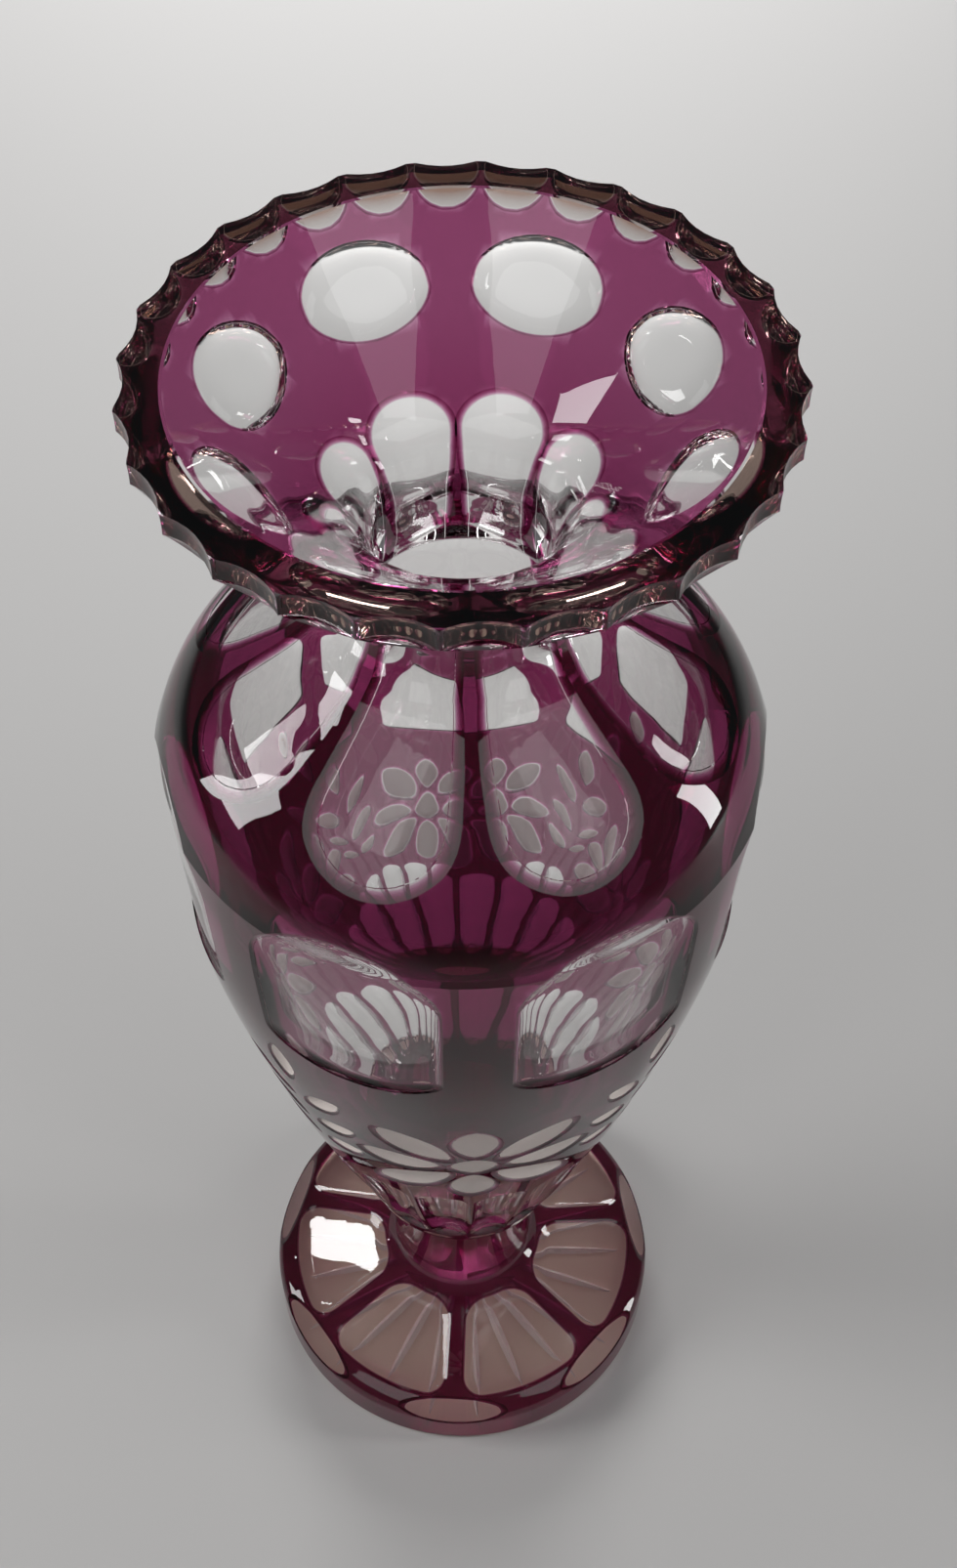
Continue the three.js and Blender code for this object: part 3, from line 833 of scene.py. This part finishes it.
def vessel_blanks():
    """Crystal and casing of the vessel as closed turned blanks, with the finish of each row of faces.
    A row always lies on the ridge and on the lower edge of the rim."""
    skin = vessel_skin
    outline = skin["outline"][:skin["last"]]
    ends = np.cumsum([len(part) - 1 for part in skin["curves"][:2]])
    rows = np.unique(np.concatenate([spaced_rows(outline), ends]))
    outer = outline[rows]
    bottom = (JOIN_RADIUS, JOIN_HEIGHT)
    top = (RIM_RADIUS, VASE_HEIGHT)
    inner = offset_rows(skin, rows, SKIN_MM, bottom, top)
    bevel = [(RIM_RADIUS, VASE_HEIGHT - RIM_BEVEL), (RIM_RADIUS - RIM_BEVEL, VASE_HEIGHT)]
    casing = np.vstack([outer[:-1], bevel, inner[::-1]])
    casing_slots = np.array([0] * (len(outer) + 1) + [1] * len(inner))
    under = offset_rows(skin, rows, SKIN_MM + HAIR_MM, bottom, top)
    inside = bore[spaced_rows(bore)]
    crystal = np.vstack([[(0, JOIN_HEIGHT)], under, RIM_INNER_EDGE, inside, [(0, BORE_FLOOR_HEIGHT)]])
    crystal_slots = np.array([0] * len(under) + [2] + [1] * (len(inside) + 2))
    return casing, casing_slots, crystal, crystal_slots


casing_profile, casing_slots, crystal_profile, crystal_slots = vessel_blanks()
vessel_crystal = turned_blank("cut_vessel_crystal", crystal_profile, crystal_slots,
                              [bonded_crystal, blown_crystal, rim_crystal_painted_shade], TURN_STEPS)
vessel_casing = turned_blank("cut_vessel_casing", casing_profile, casing_slots,
                             [amethyst_face, amethyst_bond], TURN_STEPS_CASING)
print("vessel blanks:", len(vessel_crystal.data.polygons), len(vessel_casing.data.polygons), "faces")

# %% Grind the vessel


def facing_out(obj):
    """Turns the faces of a closed blank outwards when its signed volume is negative."""
    mesh = obj.data
    mesh.calc_loop_triangles()
    corners = np.empty(len(mesh.loop_triangles) * 3, np.int32)
    mesh.loop_triangles.foreach_get("vertices", corners)
    points = mesh_arrays(mesh)[0][corners.reshape(-1, 3)]
    volume = np.einsum("ij,ij->i", points[:, 0], np.cross(points[:, 1], points[:, 2])).sum() / 6
    if volume < 0:
        mesh.flip_normals()
    return abs(volume) * 1e6


print("vessel glass in cm3:", round(facing_out(vessel_crystal), 1), round(facing_out(vessel_casing), 1))
grind(vessel_crystal, wheels_for(vessel_cuts, ground_crystal, matt_crystal, rim_material=scallop_crystal_painted_shade))
grind(vessel_casing, wheels_for(vessel_cuts, amethyst_edge_painted_shade, amethyst_matt))
for piece in (vessel_crystal, vessel_casing):
    sharpen(piece.data, CREASE_DEGREES)
    print(piece.name, len(piece.data.polygons), "faces", [m.name for m in piece.data.materials])

# %% [markdown]
# ## Smooth light and thin skin
# Light in glass shows every facet, so the untouched faces of the vessel get the normals of the true
# curve. More rows would help too, but never make it exact. A cut thins the skin towards its outline,
# and what is left of it is written to each corner, where the finish reads it. A painted texture for
# that would be coarser than the cuts.

# %% Normals of the turned surface


def set_turned_normals(mesh, tables):
    """Gives the corners of untouched faces the normal of the turned outline at their height. tables
    maps a material name to sections of (heights, normals); the face centre picks the section."""
    points, corner_vertex, corner_face, slots, centres = mesh_arrays(mesh)
    normals = np.zeros((len(corner_vertex), 3))
    at = points[corner_vertex]
    radius = np.hypot(at[:, 0], at[:, 1]) + 1e-12
    height = at[:, 2] * 1000
    face_height = centres[corner_face, 2] * 1000
    face_radius = np.hypot(*centres[corner_face, :2].T) * 1000
    for name, sections in tables.items():
        index = mesh.materials.find(name)
        for heights, pairs, low, high, limit in sections:
            chosen = ((slots[corner_face] == index) & (face_height > low) & (face_height < high)
                      & (face_radius > limit[0]) & (face_radius < limit[1]))
            out = np.interp(height[chosen], heights, pairs[:, 0])
            up = np.interp(height[chosen], heights, pairs[:, 1])
            normals[chosen] = np.stack([out * at[chosen, 0] / radius[chosen],
                                        out * at[chosen, 1] / radius[chosen], up], 1)
    mesh.normals_split_custom_set(normals.tolist())


def section_table(skin, part, low, high, limit=(0, 1000)):
    """Heights and normals of one section of an outline, for faces between two levels and two radii."""
    return (skin["curves"][part][:, 1], skin["normals"][part], low, high, limit)


outer_sections = [section_table(vessel_skin, 0, JOIN_HEIGHT + 0.01, RIDGE_HEIGHT, (13.5, 99)),
                  section_table(vessel_skin, 1, RIDGE_HEIGHT, RIM_EDGE_HEIGHT)]
bonded_sections = [(vessel_skin["outline"][:, 1], vessel_skin["soft"], 50.2, 299.9, (13.0, 99))]
bore_up = bore[::-1]
bore_sections = [(bore_up[:, 1], -outline_normals(bore_up), 74.0, 299.3, (0, 44.2))]
set_turned_normals(vessel_crystal.data, {"bonded_crystal": bonded_sections, "blown_crystal": bore_sections})
print("sections with exact normals on the crystal:", len(bonded_sections) + len(bore_sections))

# %% Thickness of the skin
FLARE_LEVELS = (255, 282)


def skin_left(obj, skin, cuts):
    """Writes how much of the coloured skin is left at each corner, 0 to 1, as a corner attribute. On
    outer and cut faces it is the height over the inner face, and on inner faces the skin above
    them less the deepest cut there. Flaring the bowl spins its skin thinner, so it counts less."""
    mesh = obj.data
    points, corner_vertex, corner_face, slots, _ = mesh_arrays(mesh)
    at = points * 1000
    radius = np.hypot(at[:, 0], at[:, 1])
    azimuth = np.arctan2(at[:, 0], -at[:, 1])
    arc = np.interp(at[:, 2], skin["outline"][:, 1], skin["arc"])
    for _ in range(3):
        base_radius, base_level, out, up = outline_at(skin, arc)
        arc = arc + (radius - base_radius) * (-up) + (at[:, 2] - base_level) * out
    over = (radius - base_radius) * out + (at[:, 2] - base_level) * up
    density = np.interp(at[:, 2], FLARE_LEVELS, (1, 1 / BODY_DEPTH))
    outer = np.clip((SKIN_MM + over) / SKIN_MM, 0, 1) * density
    deepest = np.zeros(len(at))
    for cut in cuts:
        offsets = (azimuth[:, None] - np.array(cut["turns"]) + math.pi) % (2 * math.pi) - math.pi
        offset = np.take_along_axis(offsets, np.abs(offsets).argmin(1)[:, None], 1)[:, 0]
        distance = offset * base_radius
        near = ((arc > cut["arc"].min()) & (arc < cut["arc"].max())
                & (np.abs(distance) < np.abs(cut["distance"]).max() + 1))
        deepest[near] = np.minimum(deepest[near], cut["field"](arc[near], distance[near]))
    inner = np.clip((SKIN_MM + deepest) / SKIN_MM, 0, 1) * density
    bonded = slots[corner_face] == mesh.materials.find("amethyst_bond")
    value = np.where(bonded, inner[corner_vertex], outer[corner_vertex])
    attribute = mesh.attributes.new("skin_left", "FLOAT", "CORNER")
    attribute.data.foreach_set("value", value.astype(np.float32))


skin_left(vessel_casing, vessel_skin, vessel_cuts)
set_turned_normals(vessel_casing.data, {"amethyst_face": outer_sections})
print("normals of the turned surfaces set, skin_left on", len(vessel_casing.data.loops), "corners")

# %% [markdown]
# ## The foot
# The foot is pressed from a gather of crystal with its own skin and joined hot to the vessel. Its
# top face slopes gently up to the stem, and it stands on the flat ring round the star. It could be
# one blank with the vessel, but the real join is a seam between two bodies of glass.

# %% Blanks of the foot


def foot_blanks():
    """Crystal and casing of the foot as closed turned blanks, with the finish of each row of faces.
    The casing stops at its hem, a little above the base."""
    skin = foot_skin
    rows = spaced_rows(skin["outline"], 3.0, 6.0)
    ends = np.cumsum([len(part) - 1 for part in skin["curves"]])
    rows = np.unique(np.concatenate([rows, ends]))
    outer = skin["outline"][rows].copy()
    hem = (FOOT_RADIUS, HEM_HEIGHT)
    top = (JOIN_RADIUS, FOOT_TOP_HEIGHT)
    outer[0] = hem
    inner = offset_rows(skin, rows, SKIN_MM, hem, top)
    casing = np.vstack([outer, inner[::-1]])
    casing_slots = np.array([0] * (len(outer) - 1) + [1] * (len(inner) + 1))
    under = offset_rows(skin, rows, SKIN_MM + HAIR_MM, (FOOT_RADIUS, BASE_EDGE_HEIGHT), top)
    crystal = np.vstack([[(0, 0), (BASE_RADIUS, 0)], under, [(0, FOOT_TOP_HEIGHT)]])
    crystal_slots = np.array([1, 1] + [0] * len(under))
    return casing, casing_slots, crystal, crystal_slots


casing_profile, casing_slots, crystal_profile, crystal_slots = foot_blanks()
foot_crystal = turned_blank("cut_foot_crystal", crystal_profile, crystal_slots,
                            [bonded_crystal, base_crystal_painted_shade], TURN_STEPS)
foot_casing = turned_blank("cut_foot_casing", casing_profile, casing_slots,
                           [amethyst_face, amethyst_bond], TURN_STEPS_CASING)

# %% Grind the foot
print("foot glass in cm3:", round(facing_out(foot_crystal), 1), round(facing_out(foot_casing), 1))
flats = [("edge_flats", edge_flat_sheets(), "ground")]
star = [("star_%d" % i, star_sheets(i), "matt") for i in range(3)]
grind(foot_crystal, wheels_for(foot_cuts, ground_crystal, matt_crystal, flats + star))
grind(foot_casing, wheels_for(foot_cuts, amethyst_edge_painted_shade, amethyst_matt, flats))
skin_left(foot_casing, foot_skin, foot_cuts)
for piece in (foot_crystal, foot_casing):
    sharpen(piece.data, CREASE_DEGREES)
    print(piece.name, len(piece.data.polygons), "faces")

# %% [markdown]
# ## Fitting to the frame
# Each ground piece rides on the one rigid body of the vase and stands for its plain solid. The
# plain solids could be shown as they are, but they serve for weight and contact, and their facets
# would show in glass.

# %% Ride and replace
PIECES = [(vessel_crystal, "vessel_crystal", "crystal"),
          (vessel_casing, "vessel_casing", "amethyst"),
          (foot_crystal, "foot_crystal", "crystal"),
          (foot_casing, "foot_casing", "amethyst")]
for piece, node, finish in PIECES:
    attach(piece, "root")
    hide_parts(node)
print("pieces:", [piece.name for piece, _, _ in PIECES])

# %% [markdown]
# ## Studio
# Glass is photographed against light, so the large soft light hangs behind the vase and brightens
# the pale floor that shows through it, while the floor in front stays calmer and reflects less in
# the dark skin. A softbox on the left and a narrow one on the right draw the edges of the cuts, two
# dim panels in front veil the flutes, and a small window stands where one tray of the foot mirrors it.

# %% Floor


def plain_material(name, color, roughness):
    """Matt paint with a faint unevenness."""
    material = bpy.data.materials.new(name)
    material.use_nodes = True
    nodes, links = material.node_tree.nodes, material.node_tree.links
    shader = nodes["Principled BSDF"]
    shader.inputs["Roughness"].default_value = roughness
    place = nodes.new("ShaderNodeTexCoord")
    noise = nodes.new("ShaderNodeTexNoise")
    ramp = nodes.new("ShaderNodeValToRGB")
    noise.inputs["Scale"].default_value = 3.0
    ramp.color_ramp.elements[0].color = (*[c * 0.97 for c in color], 1)
    ramp.color_ramp.elements[1].color = (*color, 1)
    links.new(place.outputs["Object"], noise.inputs["Vector"])
    links.new(noise.outputs["Fac"], ramp.inputs["Fac"])
    links.new(ramp.outputs["Color"], shader.inputs["Base Color"])
    return material


FLOOR_REACH = 3.0
FLOOR_GAP = 0.0002
corners = np.array([[-1, -1, 0], [1, -1, 0], [1, 1, 0], [-1, 1, 0]]) * FLOOR_REACH + [0, 0, -FLOOR_GAP]
pale_floor = plain_material("pale_floor", (0.58, 0.57, 0.56), 0.6)
floor = new_object("floor", corners, [(0, 1, 2, 3)], [0], [pale_floor])
print("floor:", 2 * FLOOR_REACH, "m wide")

# %% Soft lights


def soft_light(name, place, target, size, power):
    """Rectangular soft light that faces a target, in metres and watts."""
    light = bpy.data.lights.new(name, "AREA")
    light.shape = "RECTANGLE"
    light.size, light.size_y = size
    light.energy = power
    obj = bpy.data.objects.new(name, light)
    obj.location = place
    way = np.asarray(target, float) - np.asarray(place, float)
    tilt = math.atan2(math.hypot(way[0], way[1]), -way[2])
    obj.rotation_euler = (tilt, 0.0, math.atan2(way[1], way[0]) - math.pi / 2)
    bpy.context.scene.collection.objects.link(obj)


soft_light("back_softbox", (0.05, 1.20, 0.55), (0, 0.45, 0.0), (0.8, 0.36), 9.5)
soft_light("front_panel_left", (-0.42, -0.40, 0.92), (0, 0, 0.24), (0.4, 0.7), 1.1)
soft_light("front_panel_right", (0.48, -0.38, 0.90), (0, 0, 0.24), (0.4, 0.7), 1.1)
soft_light("left_softbox", (-0.95, 0.05, 0.60), (0, 0, 0.2), (0.4, 0.5), 5.2)
soft_light("small_window", (-0.478, 0.386, 0.815), (0, 0, 0), (0.024, 0.06), 0.085)
soft_light("right_strip", (1.0, -0.05, 0.37), (0, 0, 0.2), (0.13, 0.6), 2.8)
print("lights:", [light.name for light in bpy.data.lights])

# %% World and paths of light
world = bpy.data.worlds.new("studio")
bpy.context.scene.world = world
world.use_nodes = True
background = world.node_tree.nodes["Background"]
background.inputs["Color"].default_value = (0.33, 0.345, 0.37, 1)
background.inputs["Strength"].default_value = 0.2

scene = bpy.context.scene
scene.view_settings.view_transform = "Standard"
scene.cycles.max_bounces = 40
scene.cycles.transmission_bounces = 40
scene.cycles.glossy_bounces = 24
scene.cycles.diffuse_bounces = 3
scene.cycles.transparent_max_bounces = 16
print("up to", scene.cycles.max_bounces, "bounces of light, because glass has many faces to cross")
